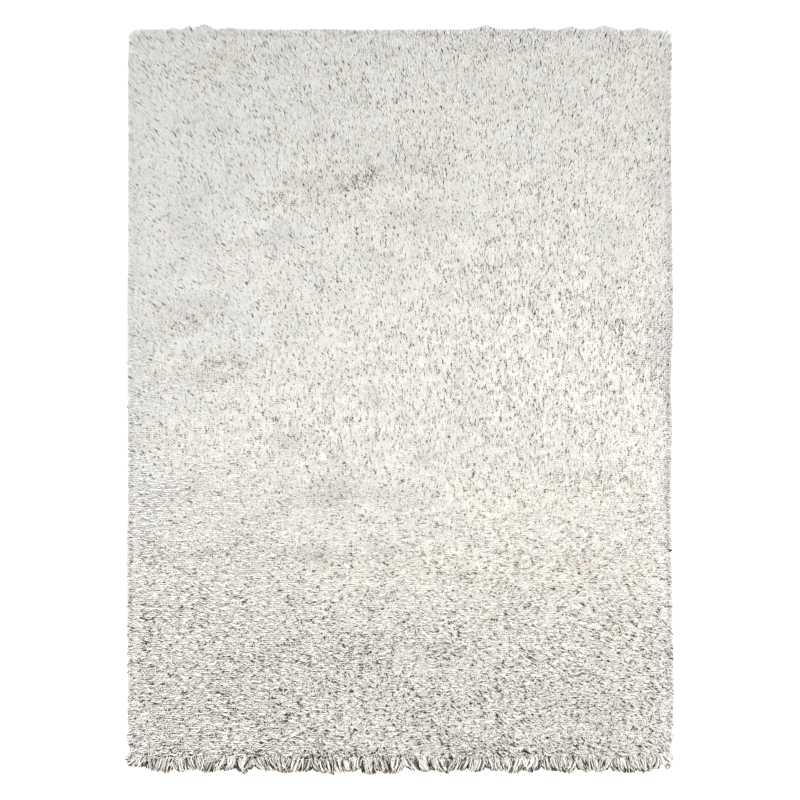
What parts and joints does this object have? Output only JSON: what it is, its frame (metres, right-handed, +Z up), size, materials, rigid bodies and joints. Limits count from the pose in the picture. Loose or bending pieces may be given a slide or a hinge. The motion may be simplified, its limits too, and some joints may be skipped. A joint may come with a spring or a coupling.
{
  "type": "shag rug",
  "caption": "Thick rectangular shag rug with a deep, lumpy off-white wool pile, rounded corners and loose strands that fall over its front edge",
  "frame": {"origin": "middle of the rug's footprint, on the floor", "axes": "+Y runs along the rug to its back edge, +X to its right edge, +Z up out of the pile"},
  "size_m": [1.7084, 2.3316, 0.0496],
  "materials": {
    "wool_pile": "matt off-white wool strands with a soft fuzz, warmer beige towards their roots"
  },
  "bodies": {
    "root": {"shag_rug": "wool_pile"}
  },
  "joints": []
}
